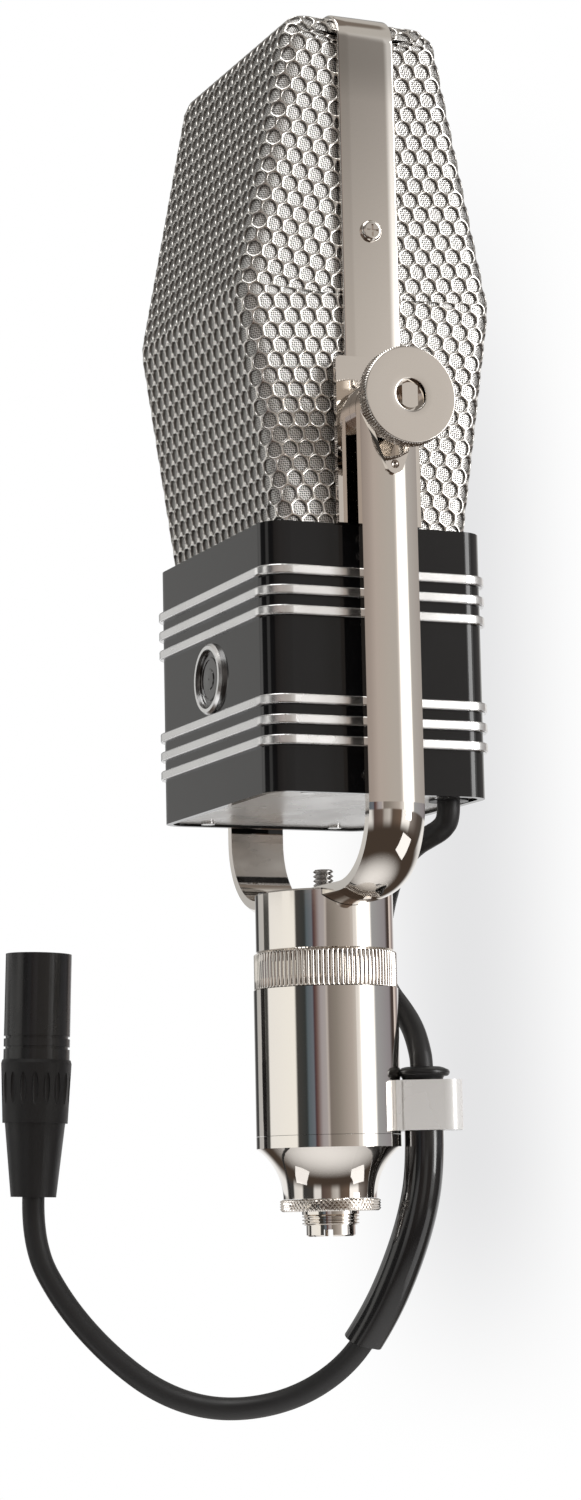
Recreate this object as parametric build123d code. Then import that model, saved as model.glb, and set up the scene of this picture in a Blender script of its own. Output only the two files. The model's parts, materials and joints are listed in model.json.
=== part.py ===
from build123d import *
import math
import os

# Ribbon microphone on a yoke and a shock-mounted stand shank, with its captive cable.
# Millimetres.  +Z up along the shank, the front (badge side) faces -Y, the yoke pivots lie on X.
# The origin is the mouth of the stand thread, at the centre of its slotted end.

# ---- stand thread and shank ------------------------------------------------------------------
SOCKET_R = 4.0              # wall of the inner 3/8"-16 thread
THREAD_R = 15.875 / 2       # outer 5/8"-27 thread
THREAD_PITCH = 25.4 / 27
TIP_R = 6.8                 # slotted end of the adapter
TIP_Z = 3.1
ADAPTER_Z = 12.5
SLOT_W = 2.5
SLOT_DEPTH = 1.9
STAND_RING = (13.7, 6.85, 10.2)     # radius, bottom, top
SLOT_AZIMUTH = 60.0
FOOT_Z = (10.3, 24.2)
FOOT_LOW_R = 13.0
FOOT_TOP_R = 20.1
FOOT_FLARE_R = 17.15        # radius of the trumpet's hollow outline, upright at its lower end
BARREL_R = 20.17
BARREL_BORE_R = 18.0
CAP_Z = (24.2, 27.5)
BARREL_Z = (27.6, 68.0)
LOCK_RING = (20.0, 68.1, 78.1)      # radius, bottom, top
COLLAR_R = 19.3
COLLAR_Z = (78.2, 94.9)
STEM_R = 17.5
SADDLE_GAP = 0.1            # between the yoke and its seat in the collar
RUN_GAP = 0.06              # radial clearance of a turning fit
FLUTE_COUNT = 90
STUD_R = 2.85
STUD_Z = (59.0, 101.6)
STUD_PITCH = 1.27
STUD_THREAD_TURNS = 6

# ---- yoke ------------------------------------------------------------------------------------
YOKE_IN_X = 47.5
YOKE_OUT_X = 53.0
YOKE_LOW_Z = 90.0
YOKE_T = 5.5                # at the crown
YOKE_SIDE_T = 2.5           # flat side below the crown
YOKE_HALF_W = 8.2
YOKE_BEND_R = 19.0          # inside the bends
PAD_X = 54.2                # face of the raised teardrop pad round each pivot
PAD_R = 8.3
PAD_TAIL = 16.6
PAD_TAIL_R = 2.6
PAD_DIMPLE_R = 1.2

# ---- pivots ----------------------------------------------------------------------------------
PIVOT_Z = 222.8
PIVOT_R = 3.5
KNOB_R = 13.6
KNOB_FACE_X = 65.3
KNOB_RIM_T = 4.6
KNOB_HUB_R = 7.6
KNOB_RECESS_R = 4.4
KNOB_RECESS_DEPTH = 3.0
STUD_END_X = 64.6
STUD_FLAT = 2.3             # half the distance across the stud's two flats
TILT_CLEARANCE = 0.1

# ---- base housing ----------------------------------------------------------------------------
BASE_X = 84.0
BASE_Y = 65.6
BASE_Z = (117.9, 191.5)
BASE_CORNER_R = 6.8
BASE_WALL = 2.0
BAND_BOTTOMS = (130.5, 136.0, 141.5, 165.65, 171.2, 176.7)
BAND_H = 2.7
BAND_PROUD = 1.25
BADGE_Z = 154.3
BADGE_R = 10.0
BADGE_RIM = 1.7
SIDE_SCREWS = ((-5.0, 187.6), (5.0, 187.6), (-5.0, 182.7), (5.0, 182.7), (-5.0, 122.8), (5.0, 122.8))
PLATE_Z = (118.7, 120.7)
GLAND_XY = (30.0, 25.0)
GLAND_Z = 118.0

# ---- grille, strap and brackets --------------------------------------------------------------
GRILLE_HALF_X = 40.2
GRILLE_TOP_Z = 336.7
GRILLE_RIDGE = (38.5, 256.5)        # half depth, height
GRILLE_LOW_HALF_Y = 28.7
GRILLE_TOP_HALF_Y = 22.5
GRILLE_CREASE_R = 5.0
GRILLE_TOP_R = 8.0
SHEET_T = 1.0
CLOTH_T = 0.4
STRAP_HALF_Y = 8.55
STRAP_OUT_X = 42.0
STRAP_TOP_Z = 338.5
STRAP_T = 1.6
STRAP_BEND_R = 9.5
STRAP_SCREW_Z = 274.5
STRAP_SCREW_R = 3.0
BRACKET_X = (42.05, 43.9)
BRACKET_HALF_Y = 12.3
BRACKET_TOP_Z = 238.0

# ---- ribbon motor ----------------------------------------------------------------------------
RIBBON_Z = (206.0, 306.0)
RIBBON_HALF_W = 2.4
RIBBON_T = 0.2
POLE_GAP = 2.9
POLE_W = 9.0
POLE_HALF_Y = 6.0

# ---- cable -----------------------------------------------------------------------------------
CABLE_D = 6.4
SLEEVE_R = 5.5
CLIP_XY = (10.7, 24.1)      # cable's centre in the clip
CLIP_RHO = math.hypot(*CLIP_XY)
CLIP_ANGLE = math.degrees(math.atan2(CLIP_XY[1], CLIP_XY[0]))
CLIP_Z = (28.5, 42.3)
CLIP_RADIAL = (18.0, 37.2)
CLIP_HALF_T = 7.5
CLIP_END_R = 5.0
CLIP_GROOVE = (20.3, 20.8)
CLIP_SCREW_END = 21.2
CLIP_SCREW_Z = 35.4
GROMMET_R = 7.6
GROMMET_TOP_Z = 46.1

# Captive lead, from the gland in the base round behind the shank and down through the clip.
LEAD_ROUTE = [
    (30.0, 25.0, GLAND_Z), (30.0, 25.0, 113.4), (26.4, 24.4, 110.7), (20.5, 23.5, 109.4),
    (13.5, 22.9, 108.1), (6.0, 22.8, 105.8), (-1.2, 22.8, 102.2), (-7.2, 22.9, 96.6),
    (-11.2, 22.8, 89.2), (-12.8, 22.5, 81.5), (-12.3, 22.5, 74.0), (-8.8, 23.4, 68.0),
    (-3.6, 24.7, 63.2), (2.9, 25.1, 57.6), (7.8, 24.5, 52.0), (10.7, 24.1, 46.6),
    (10.7, 24.1, CLIP_Z[0]),
]
# Free cable, from the clip's lower mouth down, across behind the stand and up into the plug.
CORD_ROUTE = [
    (10.7, 24.1, CLIP_Z[0]), (10.7, 24.1, 18.0), (8.6, 22.4, 5.0), (3.5, 19.5, -8.7),
    (-3.2, 15.7, -21.9), (-11.7, 9.1, -36.1), (-23.1, -3.1, -45.7), (-35.2, -19.2, -48.5),
    (-44.8, -34.0, -43.5), (-52.6, -47.4, -31.6), (-58.4, -58.4, -17.1), (-61.2, -66.2, -1.0),
    (-61.0, -65.8, 12.6),
]
SLEEVE_POINTS = 5           # the sleeve follows the first of the cable's points
SLEEVE_END = (-6.9, 12.8, -28.1)

# ---- three-pin plug, in its own frame: cable entry at 0, open end up ----------------------------
PLUG_FOOT = CORD_ROUTE[-1]
PLUG_AXIS = tuple(end - before for end, before in zip(CORD_ROUTE[-1], CORD_ROUTE[-2]))
BOOT_H = 21.0
BOOT_LOW_R = 6.5
BOOT_TOP_R = 8.65
GRIP_Z = (21.0, 39.0)
GRIP_R = 10.1               # at its upper end
GRIP_LOW_R = 9.35
GOUGE_COUNT = 18
SHELL_Z = (39.0, 69.4)
SHELL_R = 9.5
SHELL_WALL = 1.4
INSERT_Z = (49.0, 56.0)
PIN_R = 1.2
PIN_RING_R = 4.1
PIN_TOP_Z = 67.0


def tube(outer_r, inner_r, low, high):
    """Upright tube or ring about Z."""
    body = Pos(0, 0, low) * Cylinder(outer_r, high - low, align=(Align.CENTER, Align.CENTER, Align.MIN))
    if inner_r > 0:
        hole = Cylinder(inner_r, high - low + 2, align=(Align.CENTER, Align.CENTER, Align.MIN))
        body -= Pos(0, 0, low - 1) * hole
    return body


def block(x, y, z):
    """Box from three (low, high) pairs."""
    size = [pair[1] - pair[0] for pair in (x, y, z)]
    return Pos(x[0], y[0], z[0]) * Box(*size, align=(Align.MIN, Align.MIN, Align.MIN))


def rod_x(radius, low, high, y=0.0, z=PIVOT_Z):
    """Cylinder along X."""
    turned = Rot(0, 90, 0) * Cylinder(radius, high - low, align=(Align.CENTER, Align.CENTER, Align.MIN))
    return Pos(low, y, z) * turned


def revolved(points):
    """Solid of revolution about Z from (radius, z) points."""
    outline = Polyline(*[(r, 0, z) for r, z in points], close=True)
    return revolve(make_face(outline), Axis.Z)


def rounded_slab(size_x, size_y, radius, low, high):
    """Upright slab with rounded corners."""
    return Pos(0, 0, low) * extrude(RectangleRounded(size_x, size_y, radius), high - low)


def both_sides(shape):
    """A shape and its mirror image in the YZ plane."""
    return [shape, mirror(shape, Plane.YZ)]


def arc_radii(points):
    """Radius of the tangent arc at each inner point, as large as its two runs allow."""
    radii = []
    for before, here, after in zip(points, points[1:], points[2:]):
        run_in = Vector(*here) - Vector(*before)
        run_out = Vector(*after) - Vector(*here)
        turn = math.radians(run_in.get_angle(run_out))
        radii.append(0.45 * min(run_in.length, run_out.length) / math.tan(turn / 2))
    return radii


def swept(points, radii, outer_r, inner_r=0.0):
    """Tube along straight runs joined by tangent arcs, solid when inner_r is 0."""
    path = FilletPolyline(*points, radius=radii)
    start = Plane(origin=path @ 0, z_dir=path % 0)
    section = start * Circle(outer_r)
    if inner_r > 0:
        section -= start * Circle(inner_r)
    return sweep(section, path), path


def write(name, *solids):
    """Write one node from its separate solids."""
    shape = solids[0] if len(solids) == 1 else Compound(children=list(solids))
    export_step(shape, "parts/" + name + ".step")


# ---- shank -----------------------------------------------------------------------------------
def thread_adapter():
    """Reducer bushing: slotted tip, outer thread crests and a threaded bore."""
    outline = [(SOCKET_R, 0), (TIP_R - 0.4, 0), (TIP_R, 0.4), (TIP_R, TIP_Z), (THREAD_R - 0.6, TIP_Z)]
    z = TIP_Z
    while z + THREAD_PITCH < STAND_RING[1]:
        outline += [(THREAD_R - 0.6, z + 0.1), (THREAD_R, z + 0.4 * THREAD_PITCH)]
        outline += [(THREAD_R, z + 0.6 * THREAD_PITCH), (THREAD_R - 0.6, z + THREAD_PITCH - 0.1)]
        z += THREAD_PITCH
    outline += [(THREAD_R, z + 0.1), (THREAD_R, ADAPTER_Z), (SOCKET_R, ADAPTER_Z)]
    slot = block((-SLOT_W / 2, SLOT_W / 2), (-TIP_R - 1, TIP_R + 1), (-1, SLOT_DEPTH))
    return revolved(outline) - Rot(0, 0, SLOT_AZIMUTH) * slot


def stand_ring():
    radius, low, high = STAND_RING
    ring = tube(radius, THREAD_R + RUN_GAP, low, high)
    return chamfer(ring.edges().filter_by(GeomType.CIRCLE).group_by(SortBy.RADIUS)[-1], 0.4)


def foot_casting():
    """Trumpet-shaped foot of the shank, bored for the adapter and the spindle."""
    low, high = FOOT_Z
    hollow = Pos(0, 0, low) * Torus(FOOT_LOW_R + FOOT_FLARE_R, FOOT_FLARE_R)
    body = tube(FOOT_TOP_R, STUD_R + 2.3, low, high) - hollow
    return body - tube(THREAD_R, 0, low - 1, ADAPTER_Z + 0.1)


def bottom_cap():
    return tube(BARREL_R, STUD_R + 2.3, *CAP_Z)


def barrel():
    body = tube(BARREL_R, BARREL_BORE_R, *BARREL_Z)
    hole = rod_x(1.35, 15, 22, 0, CLIP_SCREW_Z) + rod_x(2.25, 15, 19.35, 0, CLIP_SCREW_Z)
    return body - Rot(0, 0, CLIP_ANGLE) * hole


def shock_spindle():
    """Spindle screwed into the foot, with a flange that the lower rubber bush sits on."""
    body = tube(STUD_R + 2.2, 0, ADAPTER_Z + 0.2, 56.0)
    return body + tube(11.0, 0, 27.6, 29.4)


def rubber_bush(low, high):
    return tube(BARREL_BORE_R - 0.05, STUD_R + 2.25, low, high)


def spindle_nut():
    hexagon = Pos(0, 0, 52.2) * extrude(RegularPolygon(8.5, 6), 3.6)
    return hexagon - tube(STUD_R + 2.2, 0, 50, 58)


def lock_ring():
    """Finely fluted ring nut between barrel and collar."""
    radius, low, high = LOCK_RING
    ring = tube(radius, STEM_R + RUN_GAP, low, high)
    groove = Pos(radius + 0.1, 0, 0) * tube(0.38, 0, low, high)
    grooves = [Rot(0, 0, i * 360 / FLUTE_COUNT) * groove for i in range(FLUTE_COUNT)]
    return ring - grooves


def yoke_collar():
    """Cap of the shank, with a stem inside the lock ring and a crowned saddle for the yoke."""
    body = tube(COLLAR_R, STUD_R + 0.05, *COLLAR_Z)
    body = chamfer(body.edges().filter_by(GeomType.CIRCLE).group_by(SortBy.RADIUS)[-1], 0.5)
    body += tube(STEM_R, STUD_R + 0.05, 66.0, COLLAR_Z[0])
    half, edge_z = YOKE_HALF_W + SADDLE_GAP, YOKE_LOW_Z + YOKE_T - YOKE_SIDE_T - SADDLE_GAP
    walls = Polyline((-30, -half, edge_z), (-30, -half, 110), (-30, half, 110), (-30, half, edge_z))
    crown = ThreePointArc((-30, half, edge_z), (-30, 0, YOKE_LOW_Z - SADDLE_GAP), (-30, -half, edge_z))
    return body - extrude(make_face([walls, crown]), 60, dir=(1, 0, 0))


def yoke_stud():
    """Stud through collar and yoke, threaded where it stands proud."""
    low, high = STUD_Z
    root = STUD_R - 0.6 * STUD_PITCH
    start = high - 0.5 - STUD_THREAD_TURNS * STUD_PITCH
    outline = [(0, low), (STUD_R, low), (STUD_R, start)]
    for i in range(STUD_THREAD_TURNS):
        z = start + i * STUD_PITCH
        outline += [(root, z + 0.5 * STUD_PITCH), (STUD_R, z + 0.9 * STUD_PITCH), (STUD_R, z + STUD_PITCH)]
    return revolved(outline + [(STUD_R - 0.5, high), (0, high)])


def yoke_nut():
    hexagon = Pos(0, 0, 60.4) * extrude(RegularPolygon(5.8, 6), 5.0)
    washer = tube(8.0, STUD_R, 65.45, 65.95)
    return hexagon - tube(STUD_R, 0, 60, 66), washer


# ---- yoke ------------------------------------------------------------------------------------
def yoke_bar():
    """Bar bent to a U, flat inside and crowned outside."""
    inner_z = YOKE_LOW_Z + YOKE_T
    corners = [(-YOKE_IN_X, 0, PIVOT_Z), (-YOKE_IN_X, 0, inner_z),
               (YOKE_IN_X, 0, inner_z), (YOKE_IN_X, 0, PIVOT_Z)]
    path = FilletPolyline(*corners, radius=YOKE_BEND_R)
    side_x = -YOKE_IN_X - YOKE_SIDE_T
    flat = [(side_x, YOKE_HALF_W, PIVOT_Z), (-YOKE_IN_X, YOKE_HALF_W, PIVOT_Z),
            (-YOKE_IN_X, -YOKE_HALF_W, PIVOT_Z), (side_x, -YOKE_HALF_W, PIVOT_Z)]
    crown = ThreePointArc(flat[-1], (-YOKE_IN_X - YOKE_T, 0, PIVOT_Z), flat[0])
    return sweep(make_face([Polyline(*flat), crown]), path)


def yoke_ear():
    """Right-hand ear with its teardrop pad, dimpled at the tail."""
    tail_z = PIVOT_Z - PAD_TAIL
    lean = math.asin((PAD_R - PAD_TAIL_R) / PAD_TAIL)
    flank = [(PAD_R * math.cos(lean), PIVOT_Z - PAD_R * math.sin(lean)),
             (PAD_TAIL_R * math.cos(lean), tail_z - PAD_TAIL_R * math.sin(lean))]
    flank += [(-y, z) for y, z in reversed(flank)]
    corners = [(YOKE_OUT_X - 3, y, z) for y, z in flank]
    ear = rod_x(PAD_R, YOKE_IN_X, PAD_X) + rod_x(PAD_TAIL_R, YOKE_OUT_X - 3, PAD_X, 0, tail_z)
    ear += extrude(make_face(Polyline(*corners, close=True)), PAD_X - YOKE_OUT_X + 3, dir=(1, 0, 0))
    return ear - Pos(PAD_X, 0, tail_z) * Sphere(PAD_DIMPLE_R)


def yoke():
    body = yoke_bar()
    for ear in both_sides(yoke_ear()):
        body += ear
    for bore in both_sides(rod_x(PIVOT_R + RUN_GAP, YOKE_IN_X - 1, PAD_X + 1)):
        body -= bore
    return body - tube(STUD_R + 0.1, 0, YOKE_LOW_Z - 1, YOKE_LOW_Z + YOKE_T + 1)


def knob():
    """Right-hand thumb nut: knurled disc, hub and a central recess."""
    hub_x = PAD_X + TILT_CLEARANCE
    rim = rod_x(KNOB_R, KNOB_FACE_X - KNOB_RIM_T, KNOB_FACE_X)
    rim = chamfer(rim.edges().filter_by(GeomType.CIRCLE), 0.5)
    body = rim + rod_x(KNOB_HUB_R, hub_x, KNOB_FACE_X - KNOB_RIM_T)
    body -= rod_x(PIVOT_R + RUN_GAP, hub_x - 1, KNOB_FACE_X)
    return body - rod_x(KNOB_RECESS_R, KNOB_FACE_X - KNOB_RECESS_DEPTH, KNOB_FACE_X + 1)


def pivot_stud():
    """Right-hand pivot stud, with two flats on the end that shows in the knob."""
    body = rod_x(PIVOT_R, BRACKET_X[0], STUD_END_X)
    for side in (-1, 1):
        y = (STUD_FLAT, 6) if side > 0 else (-6, -STUD_FLAT)
        body -= block((STUD_END_X - 4.5, 70), y, (PIVOT_Z - 6, PIVOT_Z + 6))
    return body


def pivot_washer():
    return rod_x(8.5, BRACKET_X[1] + 0.05, YOKE_IN_X - TILT_CLEARANCE) - rod_x(PIVOT_R, 40, 50)


def bracket():
    """Right-hand pivot bracket, up from the base outside the strap."""
    body = block(BRACKET_X, (-BRACKET_HALF_Y, BRACKET_HALF_Y), (BASE_Z[1], BRACKET_TOP_Z))
    body = fillet(body.edges().filter_by(Axis.X).group_by(Axis.Z)[-1], 1.5)
    return body - rod_x(PIVOT_R, 40, 50)


# ---- base ------------------------------------------------------------------------------------
def base_housing():
    body = rounded_slab(BASE_X, BASE_Y, BASE_CORNER_R, *BASE_Z)
    inside = rounded_slab(BASE_X - 2 * BASE_WALL, BASE_Y - 2 * BASE_WALL, BASE_CORNER_R - BASE_WALL,
                          BASE_Z[0] - 1, BASE_Z[1] - BASE_WALL)
    body -= inside
    body -= block((-30, 30), (-20, 20), (BASE_Z[1] - 5, BASE_Z[1] + 1))
    for y, z in SIDE_SCREWS:
        body -= rod_x(1.0, -50, 50, y, z)
    return body


def bottom_plate():
    body = rounded_slab(BASE_X - 2 * BASE_WALL - 0.2, BASE_Y - 2 * BASE_WALL - 0.2, BASE_CORNER_R - BASE_WALL,
                        *PLATE_Z)
    return body - Pos(GLAND_XY[0], GLAND_XY[1], 0) * tube(4.5, 0, 110, 130)


def trim_bands():
    bands = []
    for low in BAND_BOTTOMS:
        ring = rounded_slab(BASE_X + 2 * BAND_PROUD, BASE_Y + 2 * BAND_PROUD, BASE_CORNER_R + BAND_PROUD,
                            low, low + BAND_H)
        ring = fillet(ring.edges().filter_by(lambda e: abs(e.tangent_at(0.5).Z) < 0.1), 0.5)
        bands.append(ring - rounded_slab(BASE_X, BASE_Y, BASE_CORNER_R, low - 1, low + BAND_H + 1))
    return bands


def disc_y(radius, far, near, x=0.0, z=BADGE_Z):
    """Disc facing the front, from y = far to y = near."""
    turned = Rot(90, 0, 0) * Cylinder(radius, far - near, align=(Align.CENTER, Align.CENTER, Align.MIN))
    return Pos(x, far, z) * turned


def badge_ring():
    face = -BASE_Y / 2
    ring = disc_y(BADGE_R, face, face - 1.5)
    ring = chamfer(ring.faces().sort_by(Axis.Y)[0].edges(), 0.7)
    return ring - disc_y(BADGE_R - BADGE_RIM, face + 1, face - 3)


def badge_disc():
    face = -BASE_Y / 2
    return disc_y(BADGE_R - BADGE_RIM, face, face - 0.8)


def side_screws():
    screws = []
    for y, z in SIDE_SCREWS:
        head = rod_x(1.6, BASE_X / 2, BASE_X / 2 + 0.6, y, z)
        shank = rod_x(1.0, BASE_X / 2 - 4, BASE_X / 2, y, z)
        slot = block((BASE_X / 2 + 0.3, BASE_X / 2 + 1), (y - 2, y + 2), (z - 0.2, z + 0.2))
        screws += both_sides(head + shank - slot)
    return screws


def bottom_screws():
    return [Pos(x, y, 0) * tube(2.0, 0, PLATE_Z[0] - 0.6, PLATE_Z[0]) for x in (-36.3, 36.3)
            for y in (-20.0, 20.0)]


def cable_gland():
    """Rubber gland in the bottom plate."""
    body = tube(5.5, 0, GLAND_Z, PLATE_Z[0]) + tube(4.5, 0, PLATE_Z[0], PLATE_Z[1])
    body += tube(5.5, 0, PLATE_Z[1], PLATE_Z[1] + 1.5)
    return Pos(GLAND_XY[0], GLAND_XY[1], 0) * body


# ---- head: strap, grille ---------------------------------------------------------------------
def arch_block(half_x, half_y, top, radius):
    """Block from the base's top up whose two upper corners are rounded, seen from the front."""
    body = block((-half_x, half_x), (-half_y, half_y), (BASE_Z[1], top))
    return fillet(body.edges().filter_by(Axis.Y).group_by(Axis.Z)[-1], radius)


def strap():
    """Polished band up one side, over the top and down the other."""
    outer = arch_block(STRAP_OUT_X, STRAP_HALF_Y, STRAP_TOP_Z, STRAP_BEND_R)
    inner = arch_block(STRAP_OUT_X - STRAP_T, 20, STRAP_TOP_Z - STRAP_T, STRAP_BEND_R - STRAP_T)
    body = outer - inner
    for hole in both_sides(rod_x(1.5, 38, 44, 0, STRAP_SCREW_Z)):
        body -= hole
    return body


def strap_screws():
    head = rod_x(STRAP_SCREW_R, STRAP_OUT_X, STRAP_OUT_X + 1.4, 0, STRAP_SCREW_Z)
    head = fillet(head.faces().sort_by(Axis.X)[-1].edges(), 0.9)
    for half_y, half_z in ((1.7, 0.3), (0.3, 1.7)):
        slot_z = (STRAP_SCREW_Z - half_z, STRAP_SCREW_Z + half_z)
        head -= block((STRAP_OUT_X + 0.8, 50), (-half_y, half_y), slot_z)
    head += rod_x(1.5, 36, STRAP_OUT_X, 0, STRAP_SCREW_Z)
    return both_sides(head)


def grille_form(inset):
    """Six-sided grille body, shrunk inwards by inset, with rounded creases and top."""
    slope_low = math.atan2(GRILLE_RIDGE[0] - GRILLE_LOW_HALF_Y, GRILLE_RIDGE[1] - BASE_Z[1])
    slope_top = math.atan2(GRILLE_RIDGE[0] - GRILLE_TOP_HALF_Y, GRILLE_TOP_Z - GRILLE_RIDGE[1])
    low = inset / math.cos(slope_low)
    top = inset / math.cos(slope_top)
    ridge = inset / math.cos((slope_low + slope_top) / 2)
    shrink_top = top - inset * math.tan(slope_top)
    profile = [(GRILLE_LOW_HALF_Y - low, BASE_Z[1]), (GRILLE_RIDGE[0] - ridge, GRILLE_RIDGE[1]),
               (GRILLE_TOP_HALF_Y - shrink_top, GRILLE_TOP_Z - inset)]
    corners = [(0, y, z) for y, z in profile] + [(0, -y, z) for y, z in reversed(profile)]
    body = extrude(make_face(Polyline(*corners, close=True)), GRILLE_HALF_X - inset, both=True, dir=(1, 0, 0))
    top_edges = body.edges().group_by(Axis.Z)[-1]
    body = fillet(top_edges, GRILLE_TOP_R - inset)
    creases = [e for e in body.edges() if abs(abs(e.center().X) - GRILLE_HALF_X + inset) < 0.01
               and e.length > 30 and e.center().Z > BASE_Z[1] + 5]
    return fillet(creases, GRILLE_CREASE_R - inset)


def shell_halves(outer_inset, thickness, gap):
    """Front and rear halves of a thin shell of the grille's form."""
    shell = grille_form(outer_inset) - grille_form(outer_inset + thickness)
    front = shell & block((-60, 60), (-60, -gap), (BASE_Z[1], 400))
    rear = shell & block((-60, 60), (gap, 60), (BASE_Z[1], 400))
    for hole in both_sides(rod_x(1.6, 30, 44, 0, STRAP_SCREW_Z)):
        front -= hole
        rear -= hole
    return front, rear


# ---- ribbon motor ----------------------------------------------------------------------------
def ribbon():
    """Corrugated foil."""
    count = 48
    step = (RIBBON_Z[1] - RIBBON_Z[0]) / count
    front = [(0, 0.35 * (-1) ** i, RIBBON_Z[0] + step * i) for i in range(count + 1)]
    back = [(0, y + RIBBON_T, z) for _, y, z in reversed(front)]
    return extrude(make_face(Polyline(*front, *back, close=True)), RIBBON_HALF_W, both=True, dir=(1, 0, 0))


def pole_piece():
    """Right-hand soft-iron pole piece beside the ribbon, with a bevelled nose."""
    outline = [(POLE_GAP, -2), (POLE_GAP + 4, -POLE_HALF_Y), (POLE_GAP + POLE_W, -POLE_HALF_Y),
               (POLE_GAP + POLE_W, POLE_HALF_Y), (POLE_GAP + 4, POLE_HALF_Y), (POLE_GAP, 2)]
    face = make_face(Polyline(*[(x, y, 186.0) for x, y in outline], close=True))
    return extrude(face, 128.0, dir=(0, 0, 1))


def magnet():
    """Horseshoe magnet under the pole pieces, inside the base."""
    body = block((-24, 24), (-9, 9), (130, 185.9))
    return body - block((-9, 9), (-10, 10), (144, 190))


def clamp(low):
    """Ribbon clamp: two plates that grip one end of the foil, with two small screws' heads."""
    front = block((-2.6, 2.6), (-2.6, -0.75), (low, low + 5))
    back = block((-2.6, 2.6), (0.75, 2.6), (low, low + 5))
    return front, back


def motor_frame():
    """Top spacer that joins the pole pieces, and two cross bars lower down."""
    top = block((-14, 14), (-7, 7), (314.1, 318))
    bars = [block((-12, 12), (y, y + 2), (197, 203)) for y in (6.05, -8.05)]
    return [top] + bars


def motor_deck():
    """Deck screwed under the base's top opening; the motor stands through it."""
    body = block((-36, 36), (-26, 26), (BASE_Z[1] - 4.5, BASE_Z[1] - 2.1))
    return body - block((-12.5, 12.5), (-8.2, 8.2), (180, 195))


def transformer():
    """Output transformer in front of the magnet: laminated core and the winding on its middle limb."""
    limb_x, limb_y = (-4.5, 4.5), (-27, -15)
    core = block((-16, 16), limb_y, (130, 160))
    for low in (-11.0, 4.5):
        core -= block((low, low + 6.5), (-40, 0), (135, 155))
    coil = block((-10.8, 10.8), (-30, -12), (135.2, 154.8))
    coil = fillet(coil.edges().filter_by(Axis.Z), 2.0)
    coil -= block((limb_x[0] - 0.1, limb_x[1] + 0.1), (limb_y[0] - 0.1, limb_y[1] + 0.1), (130, 160))
    return core, coil


def terminal_board():
    """Fibre board behind the magnet where the cable's wires end on three lugs."""
    body = block((-16, 16), (13, 15), (134, 150))
    for x in (-10, 0, 10):
        body += block((x - 1, x + 1), (15, 18), (140, 144))
    return body


# ---- cable and plug --------------------------------------------------------------------------
def cable_clip():
    """Block saddled on the barrel, with a rounded end and a bore that grips the cable."""
    body = block(CLIP_RADIAL, (-CLIP_HALF_T, CLIP_HALF_T), CLIP_Z)
    body = fillet(body.edges().filter_by(Axis.Z).group_by(Axis.X)[-1], CLIP_END_R)
    for side in (-1, 1):
        body -= Pos(0, side * CLIP_HALF_T, 0) * block(CLIP_GROOVE, (-0.5, 0.5), (0, 60))
    body -= tube(BARREL_R + 0.02, 0, 0, 60)
    body -= Pos(CLIP_RHO, 0, 0) * tube(SLEEVE_R - 0.7, 0, 20, 50)
    body -= rod_x(1.3, 15, CLIP_SCREW_END, 0, CLIP_SCREW_Z)
    return Rot(0, 0, CLIP_ANGLE) * body


def clip_screw():
    shank = rod_x(1.3, 18.1, CLIP_SCREW_END, 0, CLIP_SCREW_Z)
    return Rot(0, 0, CLIP_ANGLE) * (shank + rod_x(2.2, 18.1, 19.3, 0, CLIP_SCREW_Z))


def cable_grommet():
    """Rubber bush through the clip; its flange on top is trimmed where it meets the barrel."""
    low, high = CLIP_Z
    body = tube(GROMMET_R, 0, high, GROMMET_TOP_Z)
    body = fillet(body.edges().group_by(Axis.Z)[-1], 1.2)
    body += tube(SLEEVE_R - 0.75, 0, low, high)
    body -= tube(CABLE_D / 2 + 0.05, 0, low - 1, GROMMET_TOP_Z + 1)
    return Pos(CLIP_XY[0], CLIP_XY[1], 0) * body - tube(BARREL_R + 0.05, 0, low - 1, GROMMET_TOP_Z + 1)


def on_plug(shape):
    """Place a shape of the plug's own frame on the end of the cable."""
    return Plane(origin=PLUG_FOOT, x_dir=(1, 0, 0), z_dir=PLUG_AXIS).location * shape


def plug_boot():
    bore = CABLE_D / 2 + 0.05
    body = revolved([(0, 0), (BOOT_LOW_R, 0), (BOOT_TOP_R, BOOT_H), (0, BOOT_H)])
    return body - tube(bore, 0, 1.0, BOOT_H + 1)


def plug_grip():
    """Tapered back nut with narrow grip gouges."""
    low, high = GRIP_Z
    body = revolved([(0, low), (GRIP_LOW_R, low), (GRIP_R, high - 1), (GRIP_R - 0.3, high), (0, high)])
    gouge = Pos(GRIP_R - 0.2, 0, (low + high) / 2 + 0.6) * scale(Sphere(1.0), by=(0.8, 1.0, 4.8))
    for i in range(GOUGE_COUNT):
        body -= Rot(0, 0, 360 / GOUGE_COUNT * i) * gouge
    return body - tube(7.2, 0, low + 1.5, high + 1)


def plug_chuck():
    """Slit collet that grips the cable inside the grip."""
    body = tube(7.0, CABLE_D / 2 + 0.05, GRIP_Z[0] + 1.6, GRIP_Z[1] - 2)
    for i in range(2):
        body -= Rot(0, 0, 90 * i) * block((-10, 10), (-0.5, 0.5), (GRIP_Z[0], GRIP_Z[1] - 8))
    return body


def plug_shell():
    low, high = SHELL_Z
    body = tube(SHELL_R, SHELL_R - SHELL_WALL, low, high)
    for z in (low + 3.0, low + 6.0):
        body -= tube(SHELL_R + 1, SHELL_R - 0.5, z, z + 0.8)
    return body


def pin_places():
    return [Rot(0, 0, 90 + 120 * i) * Pos(PIN_RING_R, 0, 0) for i in range(3)]


def plug_insert():
    body = tube(SHELL_R - SHELL_WALL, 0, *INSERT_Z)
    for place in pin_places():
        body -= place * tube(PIN_R, 0, INSERT_Z[0] - 1, INSERT_Z[1] + 1)
    return body


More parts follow.
